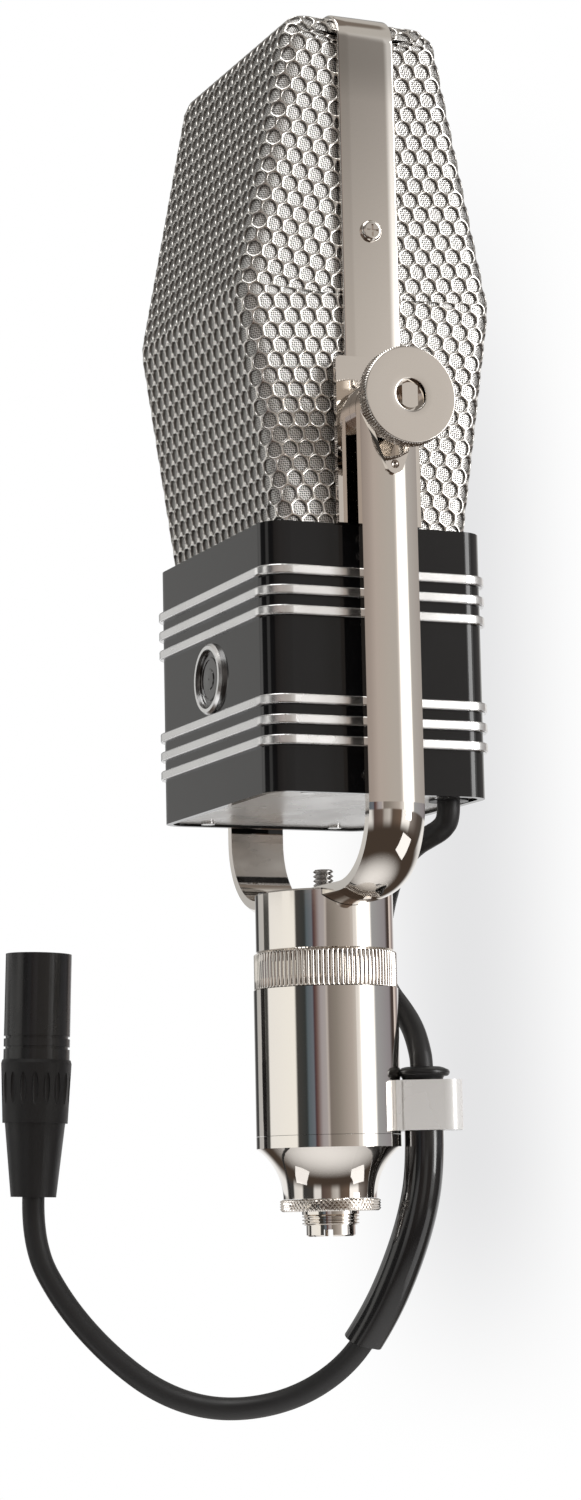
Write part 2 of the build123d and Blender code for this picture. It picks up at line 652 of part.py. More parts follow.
def plug_pins():
    pin = tube(PIN_R, 0, INSERT_Z[0] - 4, PIN_TOP_Z)
    pin = chamfer(pin.edges().group_by(Axis.Z)[-1], 0.5)
    return [place * pin for place in pin_places()]


def main():
    os.makedirs("parts", exist_ok=True)

    write("thread_adapter", thread_adapter())
    write("stand_lock_ring", stand_ring())
    write("foot_casting", foot_casting())
    write("barrel_bottom_cap", bottom_cap())
    write("barrel", barrel())
    write("shock_spindle", shock_spindle())
    write("shock_bush_lower", rubber_bush(29.5, 39.5))
    write("shock_bush_upper", rubber_bush(42.0, 52.0))
    write("spindle_nut", spindle_nut())
    write("fluted_lock_ring", lock_ring())
    write("yoke_collar", yoke_collar())
    write("yoke_stud", yoke_stud())
    write("yoke_nut", *yoke_nut())
    write("yoke", yoke())

    write("knob_right", knob())
    write("knob_left", mirror(knob(), Plane.YZ))
    write("pivot_stud_right", pivot_stud())
    write("pivot_stud_left", mirror(pivot_stud(), Plane.YZ))
    write("pivot_washers", *both_sides(pivot_washer()))
    write("pivot_bracket_right", bracket())
    write("pivot_bracket_left", mirror(bracket(), Plane.YZ))

    write("base_housing", base_housing())
    write("base_bottom_plate", bottom_plate())
    write("base_trim_bands", *trim_bands())
    write("badge_ring", badge_ring())
    write("badge_disc", badge_disc())
    write("base_side_screws", *side_screws())
    write("bottom_plate_screws", *bottom_screws())
    write("cable_gland", cable_gland())

    write("grille_strap", strap())
    write("strap_screws", *strap_screws())
    grille_front, grille_rear = shell_halves(0.0, SHEET_T, 0.02)
    write("grille_front", grille_front)
    write("grille_rear", grille_rear)
    cloth_front, cloth_rear = shell_halves(SHEET_T + 0.05, CLOTH_T, 0.02)
    write("wire_cloth_front", cloth_front)
    write("wire_cloth_rear", cloth_rear)

    write("ribbon", ribbon())
    write("pole_piece_right", pole_piece())
    write("pole_piece_left", mirror(pole_piece(), Plane.YZ))
    write("horseshoe_magnet", magnet())
    write("ribbon_clamp_lower", *clamp(RIBBON_Z[0] - 0.5))
    write("ribbon_clamp_upper", *clamp(RIBBON_Z[1] - 4.5))
    write("motor_frame", *motor_frame())
    write("motor_deck", motor_deck())
    core, coil = transformer()
    write("transformer_core", core)
    write("transformer_coil", coil)
    write("terminal_board", terminal_board())

    write("cable_clip", cable_clip())
    write("clip_screw", clip_screw())
    write("cable_grommet", cable_grommet())
    area = math.pi * (CABLE_D / 2) ** 2
    for name, route in (("captive_lead", LEAD_ROUTE), ("free_cable", CORD_ROUTE)):
        radii = arc_radii(route)
        cord, path = swept(route, radii, CABLE_D / 2)
        write(name, cord)
        print(name, "radii", [round(r, 1) for r in radii])
        print(name, "length", round(path.length, 1), "volume / (section x length)",
              round(cord.volume / (area * path.length), 4))
    sleeve_radii = arc_radii(CORD_ROUTE)[:SLEEVE_POINTS - 1]
    sleeve, _ = swept(CORD_ROUTE[:SLEEVE_POINTS] + [SLEEVE_END], sleeve_radii, SLEEVE_R, CABLE_D / 2 + 0.1)
    write("cable_sleeve", sleeve)

    write("plug_boot", on_plug(plug_boot()))
    write("plug_grip", on_plug(plug_grip()))
    write("plug_chuck", on_plug(plug_chuck()))
    write("plug_shell", on_plug(plug_shell()))
    write("plug_insert", on_plug(plug_insert()))
    write("plug_pins", *[on_plug(pin) for pin in plug_pins()])


main()
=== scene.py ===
import json
import math

import bmesh
import bpy
from mathutils import Matrix, Vector


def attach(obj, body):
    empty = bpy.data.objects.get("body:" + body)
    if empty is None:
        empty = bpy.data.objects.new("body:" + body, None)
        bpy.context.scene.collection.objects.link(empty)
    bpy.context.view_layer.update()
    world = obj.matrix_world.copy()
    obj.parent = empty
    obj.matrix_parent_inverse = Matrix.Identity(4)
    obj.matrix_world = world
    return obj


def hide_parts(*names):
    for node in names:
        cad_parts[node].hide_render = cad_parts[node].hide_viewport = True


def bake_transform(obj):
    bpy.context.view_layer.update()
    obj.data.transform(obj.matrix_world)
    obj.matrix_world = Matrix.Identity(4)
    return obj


# Looks of a ribbon microphone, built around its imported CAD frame.  Metres, +Z up, front towards -Y.
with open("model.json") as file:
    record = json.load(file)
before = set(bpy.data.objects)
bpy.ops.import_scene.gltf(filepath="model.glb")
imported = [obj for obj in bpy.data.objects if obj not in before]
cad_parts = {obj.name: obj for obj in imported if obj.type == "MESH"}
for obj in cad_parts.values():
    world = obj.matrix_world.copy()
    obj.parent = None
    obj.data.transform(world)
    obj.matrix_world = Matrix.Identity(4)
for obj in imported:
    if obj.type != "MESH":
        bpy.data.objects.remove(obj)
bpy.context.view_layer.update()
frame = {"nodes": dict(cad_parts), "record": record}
NODES = frame["nodes"]
MM = 0.001


# ---- camera -----------------------------------------------------------------------------------
CAMERA_AT = Vector((0.8463, -0.37295, 0.00617))
CAMERA_AZIMUTH = math.radians(66.742)
CAMERA_ELEVATION = math.radians(-7.979)
CAMERA_ROLL = math.radians(-1.188)
CAMERA_LENS = 79.53


def make_camera():
    """Camera on the microphone's right front, a little below its middle and looking up."""
    data = bpy.data.cameras.new("camera")
    data.sensor_fit = "VERTICAL"
    data.sensor_height = 36.0
    data.lens = CAMERA_LENS
    data.clip_start = 0.01
    data.clip_end = 20.0
    back = Vector((math.sin(CAMERA_AZIMUTH) * math.cos(CAMERA_ELEVATION),
                   -math.cos(CAMERA_AZIMUTH) * math.cos(CAMERA_ELEVATION),
                   math.sin(CAMERA_ELEVATION)))
    right = Vector((math.cos(CAMERA_AZIMUTH), math.sin(CAMERA_AZIMUTH), 0.0))
    up = back.cross(right)
    turned_right = math.cos(CAMERA_ROLL) * right + math.sin(CAMERA_ROLL) * up
    turned_up = -math.sin(CAMERA_ROLL) * right + math.cos(CAMERA_ROLL) * up
    place = Matrix((turned_right, turned_up, back)).transposed().to_4x4()
    place.translation = CAMERA_AT
    camera = bpy.data.objects.new("camera", data)
    camera.matrix_world = place
    bpy.context.collection.objects.link(camera)
    bpy.context.scene.camera = camera


make_camera()


# ---- mesh helpers -----------------------------------------------------------------------------
WELD = 1e-7     # points closer than this become one


def add_mesh(name, verts, faces, smooth_angle=35.0):
    """Object from points and faces, smooth except along edges sharper than smooth_angle."""
    mesh = bpy.data.meshes.new(name)
    mesh.from_pydata([tuple(v) for v in verts], [], faces)
    work = bmesh.new()
    work.from_mesh(mesh)
    bmesh.ops.remove_doubles(work, verts=work.verts, dist=WELD)
    bmesh.ops.recalc_face_normals(work, faces=work.faces)
    limit = math.radians(smooth_angle)
    for face in work.faces:
        face.smooth = True
    for edge in work.edges:
        if len(edge.link_faces) == 2 and edge.calc_face_angle(0.0) > limit:
            edge.smooth = False
    work.to_mesh(mesh)
    work.free()
    piece = bpy.data.objects.new(name, mesh)
    bpy.context.collection.objects.link(piece)
    return piece


def finish_piece(piece, material, body, slot, *nodes):
    """Give a piece its material and body, and hide the CAD nodes it stands for; the slot argument is not
    used.
    """
    piece.data.materials.clear()
    piece.data.materials.append(material)
    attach(piece, body)
    if nodes:
        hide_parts(*nodes)
    return piece


def ring_faces(rings, count):
    """Quads between consecutive rings of count points."""
    faces = []
    for i in range(rings - 1):
        for j in range(count):
            k = (j + 1) % count
            faces.append((i * count + j, i * count + k, (i + 1) * count + k, (i + 1) * count + j))
    return faces


def sweep_rings(points, radii, sides):
    """Rings of a round tube along points, with one radius for each point, turned as little as possible."""
    verts = []
    previous = None
    for i, here in enumerate(points):
        ahead = points[min(i + 1, len(points) - 1)] - points[max(i - 1, 0)]
        tangent = ahead.normalized()
        if previous is None:
            side = tangent.orthogonal().normalized()
        else:
            side = (previous - tangent * previous.dot(tangent)).normalized()
        previous = side
        other = tangent.cross(side)
        for j in range(sides):
            a = 2 * math.pi * j / sides
            verts.append(here + radii[i] * (math.cos(a) * side + math.sin(a) * other))
    return verts


# ---- cables: one smooth line each, the rest follows it ----------------------------------------
CABLE_R = 3.2 * MM
LEAD_SIDES = 28
LINE_STEPS = 24         # points of a smooth line between two of its control points
CORD_ROUTE = [
    (10.7, 24.1, 28.5), (10.7, 24.1, 18.0), (8.6, 22.4, 5.0), (3.5, 19.5, -8.7),
    (-3.2, 15.7, -21.9), (-11.7, 9.1, -36.1), (-23.1, -3.1, -45.7), (-35.2, -19.2, -48.5),
    (-44.8, -34.0, -43.5), (-52.6, -47.4, -31.6), (-58.4, -58.4, -17.1), (-61.2, -66.2, -1.0),
    (-61.0, -65.8, 12.6),
]
LEAD_ROUTE = [
    (30.0, 25.0, 118.0), (30.0, 25.0, 113.4), (26.4, 24.4, 110.7), (20.5, 23.5, 109.4),
    (13.5, 22.9, 108.1), (6.0, 22.8, 105.8), (-1.2, 22.8, 102.2), (-7.2, 22.9, 96.6),
    (-11.2, 22.8, 89.2), (-12.8, 22.5, 81.5), (-12.3, 22.5, 74.0), (-8.8, 23.4, 68.0),
    (-3.6, 24.7, 63.2), (2.9, 25.1, 57.6), (7.8, 24.5, 52.0), (10.7, 24.1, 46.6),
    (10.7, 24.1, 28.5),
]


def nurbs_line(name, route, bevel):
    """Smooth curve whose control points are the route's points."""
    curve = bpy.data.curves.new(name, "CURVE")
    curve.dimensions = "3D"
    spline = curve.splines.new("NURBS")
    spline.points.add(len(route) - 1)
    for point, place in zip(spline.points, route):
        point.co = (*[c * MM for c in place], 1.0)
    spline.order_u = 3
    spline.use_endpoint_u = True
    spline.resolution_u = LINE_STEPS
    curve.resolution_u = LINE_STEPS
    curve.bevel_depth = bevel
    curve.bevel_resolution = 8
    line = bpy.data.objects.new(name, curve)
    bpy.context.collection.objects.link(line)
    return line


def line_points(route):
    """Points along the smooth curve of a route."""
    probe = nurbs_line("probe", route, 0.0)
    bpy.context.view_layer.update()
    mesh = bpy.data.meshes.new_from_object(probe.evaluated_get(bpy.context.evaluated_depsgraph_get()))
    points = [v.co.copy() for v in mesh.vertices]
    bpy.data.meshes.remove(mesh)
    bpy.data.objects.remove(probe)
    return points


def line_length(points):
    """Length of the line through the points."""
    return sum((b - a).length for a, b in zip(points, points[1:]))


# ---- materials --------------------------------------------------------------------------------
def new_material(name):
    """Empty node material, with its nodes, links and shader."""
    material = bpy.data.materials.new(name)
    material.use_nodes = True
    tree = material.node_tree
    return material, tree.nodes, tree.links, tree.nodes["Principled BSDF"]


class NodeMaker:
    """Short calls for a tree's nodes."""

    def __init__(self, tree):
        self.nodes = tree.nodes
        self.links = tree.links

    def feed(self, socket, value):
        if isinstance(value, bpy.types.NodeSocket):
            self.links.new(value, socket)
        else:
            socket.default_value = value

    def math(self, operation, *values):
        node = self.nodes.new("ShaderNodeMath")
        node.operation = operation
        for socket, value in zip(node.inputs, values):
            self.feed(socket, value)
        return node.outputs["Value"]

    def span(self, value, low, high, start=0.0, end=1.0):
        node = self.nodes.new("ShaderNodeMapRange")
        node.interpolation_type = "SMOOTHSTEP"
        names = ("Value", "From Min", "From Max", "To Min", "To Max")
        for name, given in zip(names, (value, low, high, start, end)):
            self.feed(node.inputs[name], given)
        return node.outputs["Result"]

    def ramp(self, share, bands):
        node = self.nodes.new("ShaderNodeValToRGB")
        elements = node.color_ramp.elements
        while len(elements) < len(bands):
            elements.new(0.5)
        for element, (degrees, color) in zip(elements, bands):
            element.position = (degrees + 180) / 360
            element.color = (*color, 1.0)
        self.links.new(share, node.inputs["Fac"])
        return node.outputs["Color"]

    def mix(self, share, first, second):
        node = self.nodes.new("ShaderNodeMix")
        node.data_type = "RGBA"
        for index, value in ((0, share), (6, first), (7, second)):
            self.feed(node.inputs[index], value)
        return node.outputs[2]

    def background(self, color):
        node = self.nodes.new("ShaderNodeBackground")
        self.feed(node.inputs["Color"], color)
        return node.outputs["Background"]


def surface_noise(nodes, links, scale, detail, stretch=(1.0, 1.0, 1.0)):
    """Noise in the piece's own coordinates, which are metres; returns its node."""
    place = nodes.new("ShaderNodeTexCoord")
    mapping = nodes.new("ShaderNodeMapping")
    mapping.inputs["Scale"].default_value = stretch
    noise = nodes.new("ShaderNodeTexNoise")
    noise.inputs["Scale"].default_value = scale
    noise.inputs["Detail"].default_value = detail
    links.new(place.outputs["Object"], mapping.inputs["Vector"])
    links.new(mapping.outputs["Vector"], noise.inputs["Vector"])
    return noise


NOISE_SPREAD = (0.3, 0.7)   # where most of a noise texture's values lie


def ranged(nodes, links, source, low, high):
    """Map a noise value to low..high."""
    node = nodes.new("ShaderNodeMapRange")
    node.inputs["From Min"].default_value = NOISE_SPREAD[0]
    node.inputs["From Max"].default_value = NOISE_SPREAD[1]
    node.inputs["To Min"].default_value = low
    node.inputs["To Max"].default_value = high
    links.new(source, node.inputs["Value"])
    return node.outputs["Result"]


def add_bump(nodes, links, shader, height, strength, distance):
    """Bump from a height value into the shader's normal."""
    bump = nodes.new("ShaderNodeBump")
    bump.inputs["Strength"].default_value = strength
    bump.inputs["Distance"].default_value = distance
    links.new(height, bump.inputs["Height"])
    links.new(bump.outputs["Normal"], shader.inputs["Normal"])


METAL_CLOUDS, DARK_CLOUDS = 60.0, 90.0      # scale of the slow change in roughness
BUMP_DISTANCE = 0.0002
COAT_ROUGHNESS = 0.03


def plain_metal(name, color, rough_low, rough_high, grain=900.0, bump=0.02, stretch=(1.0, 1.0, 1.0)):
    """Metal whose roughness wanders a little, with a faint grain."""
    material, nodes, links, shader = new_material(name)
    shader.inputs["Base Color"].default_value = (*color, 1.0)
    shader.inputs["Metallic"].default_value = 1.0
    cloudy = surface_noise(nodes, links, METAL_CLOUDS, 3.0)
    links.new(ranged(nodes, links, cloudy.outputs["Fac"], rough_low, rough_high), shader.inputs["Roughness"])
    fine = surface_noise(nodes, links, grain, 2.0, stretch)
    add_bump(nodes, links, shader, fine.outputs["Fac"], bump, BUMP_DISTANCE)
    return material


def dark_gloss(name, color, rough_low, rough_high, specular=0.5, coat=0.0, grain=1500.0, bump=0.03):
    """Non-metal: enamel, rubber or moulded plastic."""
    material, nodes, links, shader = new_material(name)
    shader.inputs["Base Color"].default_value = (*color, 1.0)
    shader.inputs["Specular IOR Level"].default_value = specular
    shader.inputs["Coat Weight"].default_value = coat
    shader.inputs["Coat Roughness"].default_value = COAT_ROUGHNESS
    cloudy = surface_noise(nodes, links, DARK_CLOUDS, 3.0)
    links.new(ranged(nodes, links, cloudy.outputs["Fac"], rough_low, rough_high), shader.inputs["Roughness"])
    fine = surface_noise(nodes, links, grain, 3.0)
    add_bump(nodes, links, shader, fine.outputs["Fac"], bump, BUMP_DISTANCE)
    return material


WIRE_PITCH = 0.60           # mm
WIRE_GAP, WIRE_CREST = 0.66, 0.88       # weave height where the painted shade of the gaps ends and where the wire is brightest
WIRE_CROSSING = 0.12
WIRE_METALLIC, WIRE_ROUGHNESS = 0.85, 0.38
WIRE_BUMP, WIRE_BUMP_DISTANCE = 0.6, 0.00015
# painted shade: the gaps between the wires are painted near black for the shade behind the cloth
WIRE_GAP_SHADE = (0.012, 0.012, 0.012, 1.0)
WIRE_COLOR = (0.80, 0.79, 0.77, 1.0)


def woven_cloth():
    """Fine wire cloth: crossing wires from the UV map, which is in millimetres; the gaps between them are
    painted near black as shade, fading into the wire's colour over its edges.
    """
    material, nodes, links, shader = new_material("woven_wire")
    shader.inputs["Metallic"].default_value = WIRE_METALLIC
    place = nodes.new("ShaderNodeUVMap")
    split = nodes.new("ShaderNodeSeparateXYZ")
    links.new(place.outputs["UV"], split.inputs["Vector"])
    make = NodeMaker(material.node_tree)
    along_u = make.math("MULTIPLY", split.outputs["X"], math.pi / WIRE_PITCH)
    along_v = make.math("MULTIPLY", split.outputs["Y"], math.pi / WIRE_PITCH)
    wire_u = make.math("ABSOLUTE", make.math("SINE", along_u))
    wire_v = make.math("ABSOLUTE", make.math("SINE", along_v))
    crossing = make.math("SINE", make.math("ADD", along_u, along_v))
    height = make.math("MAXIMUM", wire_u, wire_v)
    woven = make.math("ADD", height, make.math("MULTIPLY", crossing, WIRE_CROSSING))
    # painted shade in the gaps, fading into the wire's own colour towards its crest
    color = nodes.new("ShaderNodeValToRGB")
    color.color_ramp.elements[0].position = WIRE_GAP
    color.color_ramp.elements[0].color = WIRE_GAP_SHADE
    color.color_ramp.elements[1].position = WIRE_CREST
    color.color_ramp.elements[1].color = WIRE_COLOR
    links.new(woven, color.inputs["Fac"])
    links.new(color.outputs["Color"], shader.inputs["Base Color"])
    shader.inputs["Roughness"].default_value = WIRE_ROUGHNESS
    add_bump(nodes, links, shader, woven, WIRE_BUMP, WIRE_BUMP_DISTANCE)
    return material


PLATE_METALLIC = 0.15


def silver_plate():
    """Pale satin plate, a little mirror in a milky white."""
    material = plain_metal("silver_plate", (0.93, 0.93, 0.92), 0.22, 0.34, 600.0, 0.02)
    material.node_tree.nodes["Principled BSDF"].inputs["Metallic"].default_value = PLATE_METALLIC
    return material


def make_materials():
    """One material for each slot of the record."""
    return {
        "nickel": plain_metal("warm_nickel", (0.83, 0.79, 0.745), 0.03, 0.06, bump=0.004),
        "grille_nickel": plain_metal("grille_sheet", (0.76, 0.74, 0.71), 0.09, 0.16, bump=0.01),
        "wire_cloth": woven_cloth(),
        "black_enamel": dark_gloss("gloss_enamel", (0.010, 0.010, 0.011), 0.05, 0.11, 0.32, 0.12,
                                   500.0, 0.012),
        "bright_band": plain_metal("satin_band", (0.88, 0.88, 0.88), 0.20, 0.30, 700.0, 0.06,
                                   (0.05, 0.05, 3.0)),
        "plate_silver": silver_plate(),
        "badge_black": dark_gloss("badge_black", (0.012, 0.012, 0.013), 0.04, 0.09, 0.5, 0.5),
        "screw_steel": plain_metal("screw_steel", (0.62, 0.61, 0.60), 0.18, 0.34, 1500.0, 0.08),
        "black_rubber": dark_gloss("black_rubber", (0.012, 0.012, 0.013), 0.25, 0.40, 0.5),
        "cable_jacket": dark_gloss("cable_jacket", (0.020, 0.020, 0.021), 0.38, 0.52, 0.45, 0.0,
                                   2500.0, 0.10),
        "sleeve_gloss": dark_gloss("glossy_sleeve", (0.016, 0.016, 0.017), 0.10, 0.20, 0.55, 0.3,
                                   300.0, 0.05),
        "plug_black": dark_gloss("plug_shell", (0.011, 0.011, 0.012), 0.22, 0.34, 0.5, 0.2, 2500.0, 0.05),
        "plug_plastic": dark_gloss("plug_plastic", (0.014, 0.014, 0.015), 0.38, 0.50, 0.45, 0.0,
                                   2500.0, 0.12),
        "gold_pins": plain_metal("gold_contacts", (0.92, 0.68, 0.30), 0.10, 0.20),
        "magnet_iron": plain_metal("magnet_iron", (0.22, 0.22, 0.23), 0.35, 0.55, 400.0, 0.15),
        "ribbon_foil": plain_metal("ribbon_foil", (0.90, 0.90, 0.91), 0.15, 0.25),
        "brass": plain_metal("machined_brass", (0.78, 0.60, 0.30), 0.15, 0.28),
        "copper_coil": plain_metal("enamelled_copper", (0.62, 0.27, 0.14), 0.2, 0.35, 500.0, 0.3,
                                   (0.1, 0.1, 4.0)),
        "board": dark_gloss("fibre_board", (0.26, 0.15, 0.07), 0.5, 0.65),
    }


MATERIALS = make_materials()
# painted shade: the walls inside the grille's holes are coloured far darker than the sheet to stand for the
# shade in the holes
HOLE_WALL_PAINTED_SHADE = plain_metal("hole_wall", (0.34, 0.33, 0.315), 0.35, 0.50, bump=0.01)


def dress_cad_nodes():
    """Every CAD node takes the material of its slot."""
    for row in frame["record"]["subparts"]:
        mesh = NODES[row["node"]].data
        mesh.materials.clear()
        mesh.materials.append(MATERIALS[row["material_slot"]])


dress_cad_nodes()


def make_cables():
    """Free cable, captive lead across the tilt joint, and the sleeve under the clip."""
    cord = nurbs_line("free_cable_line", CORD_ROUTE, CABLE_R)
    finish_piece(cord, MATERIALS["cable_jacket"], "stand", "cable_jacket", "free_cable")
    points = line_points(CORD_ROUTE)

    lead_points = line_points(LEAD_ROUTE)
    rings = sweep_rings(lead_points, [CABLE_R] * len(lead_points), LEAD_SIDES)
    faces = ring_faces(len(lead_points), LEAD_SIDES)
    faces.append(tuple(range(LEAD_SIDES)))
    faces.append(tuple(len(rings) - 1 - j for j in range(LEAD_SIDES)))
    lead = add_mesh("captive_lead_tube", rings, faces)
    lead.data.materials.append(MATERIALS["cable_jacket"])
    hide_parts("captive_lead")
    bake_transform(lead)

    sleeve = make_sleeve(points)
    tuple(c * MM for c in CORD_ROUTE[0])
    line_length(points)


SLEEVE_LENGTH = 63.0 * MM
SLEEVE_R = 5.4 * MM
SLEEVE_WALL = 1.7 * MM
SLEEVE_SIDES = 40
SLEEVE_SLANT = 1.6 * MM
SLEEVE_ACROSS = Vector((0.392, 0.920, 0.0))     # the way its slanted end rises


def make_sleeve(points):
    """Glossy sleeve round the first stretch of the cable, cut off at a slant."""
    run = [points[0]]
    for point in points[1:]:
        if line_length(run) + (point - run[-1]).length > SLEEVE_LENGTH:
            break
        run.append(point)
    outer = sweep_rings(run, [SLEEVE_R] * len(run), SLEEVE_SIDES)
    inner = sweep_rings(run, [SLEEVE_R - SLEEVE_WALL] * len(run), SLEEVE_SIDES)
    lean = (run[-1] - run[-2]).normalized()
    for ring in (outer, inner):
        for j in range(len(ring) - SLEEVE_SIDES, len(ring)):
            offset = (ring[j] - run[-1]).dot(SLEEVE_ACROSS)
            ring[j] = ring[j] - lean * (offset / SLEEVE_R) * SLEEVE_SLANT
    count = len(outer)
    faces = ring_faces(len(run), SLEEVE_SIDES)
    faces += [tuple(i + count for i in reversed(face)) for face in faces]
    last = count - SLEEVE_SIDES
    for j in range(SLEEVE_SIDES):
        k = (j + 1) % SLEEVE_SIDES
        faces.append((last + j, last + k, count + last + k, count + last + j))
        faces.append((k, j, count + j, count + k))
    sleeve = add_mesh("glossy_sleeve", outer + inner, faces)
    return finish_piece(sleeve, MATERIALS["sleeve_gloss"], "stand", "sleeve_gloss", "cable_sleeve")


make_cables()


# ---- grille -----------------------------------------------------------------------------------
HOLE_PITCH = 4.75
ROW_PITCH = 4.11
HOLE_R = 2.05
RIM_R = 2.2
RIM_DEPTH, MOUTH_DEPTH = 0.02, 0.16     # how deep the hole's rounded rim starts and ends
SHEET_T = 0.65
CELL_SIDES = 18
GRILLE_X = 40.2
BASE_TOP = 191.5
TOP_Z = 336.7
TOP_ROUND = 8.0
CREASE_R = 5.0
CREASE_ARC = CREASE_R * math.pi / 2
FLAT_X = GRILLE_X - CREASE_R
PROFILE = [(28.7, BASE_TOP), (38.5, 256.5), (22.5, TOP_Z)]
PROFILE_STEP = 0.25
PROFILE_END = 0.1       # depth at which the side view stops, at the parting line on top
PROFILE_BELOW = 3.0     # how far the side view runs on into the base
RIDGE_ROUND = 6.0
SIDE_TILT, TILT_LIMIT = 0.6, 0.25
TURNED_HEADING = -1.2   # the sheet has turned over the top past this heading
TOP_ROOM, SIDE_GAP = 0.5, 2.0
CLOTH_STEP = 1.6
CLOTH_FROM, CLOTH_TO = SHEET_T + 0.06, SHEET_T + 0.40
CLOTH_REACH = 1.6       # how far the cloth runs on past the sheet's side
CLOTH_SPARE = 4.0
WALL_ROUND, ROUNDS = 2, 4       # a cell's faces come in four rounds, the third is the hole's wall


def build_profile():
    """Side view of the grille's front: points (depth, height, outward angle) a step apart."""
    (y0, z0), (y1, z1), (y2, z2) = PROFILE
    slope_low = math.atan2(y1 - y0, z1 - z0)
    slope_top = math.atan2(y2 - y1, z2 - z1)
    y, z = y0 - PROFILE_BELOW * math.tan(slope_low), z0 - PROFILE_BELOW
    heading = slope_low
    points = []
    half_turn = math.pi / 2
    turn_start = TOP_Z - TOP_ROUND * (1 + math.sin(slope_top))
    while y > PROFILE_END:
        points.append((y, z, heading))
        if z < z1 - RIDGE_ROUND / 2:
            heading = slope_low
        elif z < z1 + RIDGE_ROUND / 2:
            share = (z - z1) / RIDGE_ROUND + 0.5
            heading = slope_low + (slope_top - slope_low) * share
        elif z < turn_start:
            heading = slope_top
        else:
            heading = max(-half_turn, heading - PROFILE_STEP / TOP_ROUND)
        y += PROFILE_STEP * math.sin(heading)
        z += PROFILE_STEP * math.cos(heading)
    return points


PROFILE_POINTS = build_profile()
PROFILE_LENGTH = (len(PROFILE_POINTS) - 1) * PROFILE_STEP


def profile_at(v):
    """Depth, height and heading at length v along the side view."""
    place = min(max(v / PROFILE_STEP, 0.0), len(PROFILE_POINTS) - 1.001)
    i = int(place)
    t = place - i
    a, b = PROFILE_POINTS[i], PROFILE_POINTS[i + 1]
    return [p + (q - p) * t for p, q in zip(a, b)]


def grille_point(u, v, depth, front):
    """Point of the grille's skin: u round from the middle of the front, v up, depth mm under it."""
    y, z, heading = profile_at(v)
    outward = (math.cos(heading), -math.sin(heading))
    side = 1.0 if u >= 0 else -1.0
    away = abs(u)
    if away <= FLAT_X:
        px, drop, lean = away, 0.0, 0.0
    elif away <= FLAT_X + CREASE_ARC:
        angle = (away - FLAT_X) / CREASE_R
        px = FLAT_X + CREASE_R * math.sin(angle)
        drop = CREASE_R * (1 - math.cos(angle))
        lean = angle
    else:
        px, drop, lean = GRILLE_X, CREASE_R, math.pi / 2
    py, pz = y - drop * outward[0], z - drop * outward[1]
    inward = max(0.0, away - FLAT_X - CREASE_ARC)
    tilt = SIDE_TILT * math.asin(max(-TILT_LIMIT, min(TILT_LIMIT, outward[1])))
    py -= inward * math.cos(tilt)
    pz -= inward * math.sin(tilt)
    normal = (math.sin(lean), math.cos(lean) * outward[0], math.cos(lean) * outward[1])
    px -= depth * normal[0]
    py -= depth * normal[1]
    pz -= depth * normal[2]
    return Vector((side * px, -py if front else py, pz)) * MM


def side_room(v):
    """How far round u may go at height v before it meets the parting line under the strap."""
    y, _, heading = profile_at(v)
    if heading < TURNED_HEADING:
        return FLAT_X + CREASE_ARC + TOP_ROOM
    return FLAT_X + CREASE_ARC + (y - CREASE_R) - SIDE_GAP


def perforated_sheet(name, front):
    """Half of the grille, staggered round holes in a thin sheet; returns it and its cells' face count."""
    verts, faces = [], []
    known, borders = {}, {}

    def corner(u, v, depth):
        key = (round(u, 3), round(v, 3), round(depth, 2))
        if key not in known:
            known[key] = len(verts)
            verts.append(grille_point(u, v, depth, front))
        return known[key]

    rows = int(PROFILE_LENGTH / ROW_PITCH)
    for row in range(rows):
        v = (row + 0.5) * ROW_PITCH
        shift = 0.5 * HOLE_PITCH if row % 2 else 0.0
        reach = side_room(v)
        columns = int((reach + HOLE_PITCH) / HOLE_PITCH) + 1
        for column in range(-columns, columns + 1):
            u = column * HOLE_PITCH + shift
            if abs(u) > reach:
                continue
            add_cell(corner, faces, borders, u, v)
    cell_faces = len(faces)
    faces += [walls[0] for walls in borders.values() if len(walls) == 1]
    return add_mesh(name, verts, faces, 50.0), cell_faces


def hexagon_edge(k):
    """Point k of the cell's hexagonal outline, on a unit of one pitch."""
    per_side = CELL_SIDES // 6
    side, part = divmod(k, per_side)
    a0 = math.radians(30 + 60 * side)
    a1 = math.radians(90 + 60 * side)
    t = part / per_side
    reach_x = 1 / math.sqrt(3)
    x = reach_x * (math.cos(a0) * (1 - t) + math.cos(a1) * t)
    y = reach_x * (math.sin(a0) * (1 - t) + math.sin(a1) * t)
    return x, y


def add_cell(corner, faces, borders, u, v):
    """One hole and the web round it; borders gathers a wall for each side of the cell."""
    outline, rim, mouth, throat, under = [], [], [], [], []
    v_scale = ROW_PITCH / (HOLE_PITCH * math.sqrt(3) / 2)
    for k in range(CELL_SIDES):
        x, y = hexagon_edge(k)
        angle = math.atan2(y, x)
        c, s = math.cos(angle), math.sin(angle)
        outline.append(corner(u + x * HOLE_PITCH, v + y * HOLE_PITCH * v_scale, 0.0))
        rim.append(corner(u + RIM_R * c, v + RIM_R * s, RIM_DEPTH))
        mouth.append(corner(u + HOLE_R * c, v + HOLE_R * s, MOUTH_DEPTH))
        throat.append(corner(u + HOLE_R * c, v + HOLE_R * s, SHEET_T))
        under.append(corner(u + x * HOLE_PITCH, v + y * HOLE_PITCH * v_scale, SHEET_T))
    for a, b in ((outline, rim), (rim, mouth), (mouth, throat), (throat, under)):
        for k in range(CELL_SIDES):
            n = (k + 1) % CELL_SIDES
            faces.append((a[k], a[n], b[n], b[k]))
    for k in range(CELL_SIDES):
        n = (k + 1) % CELL_SIDES
        side = frozenset((outline[k], outline[n]))
        borders.setdefault(side, []).append((outline[n], outline[k], under[k], under[n]))


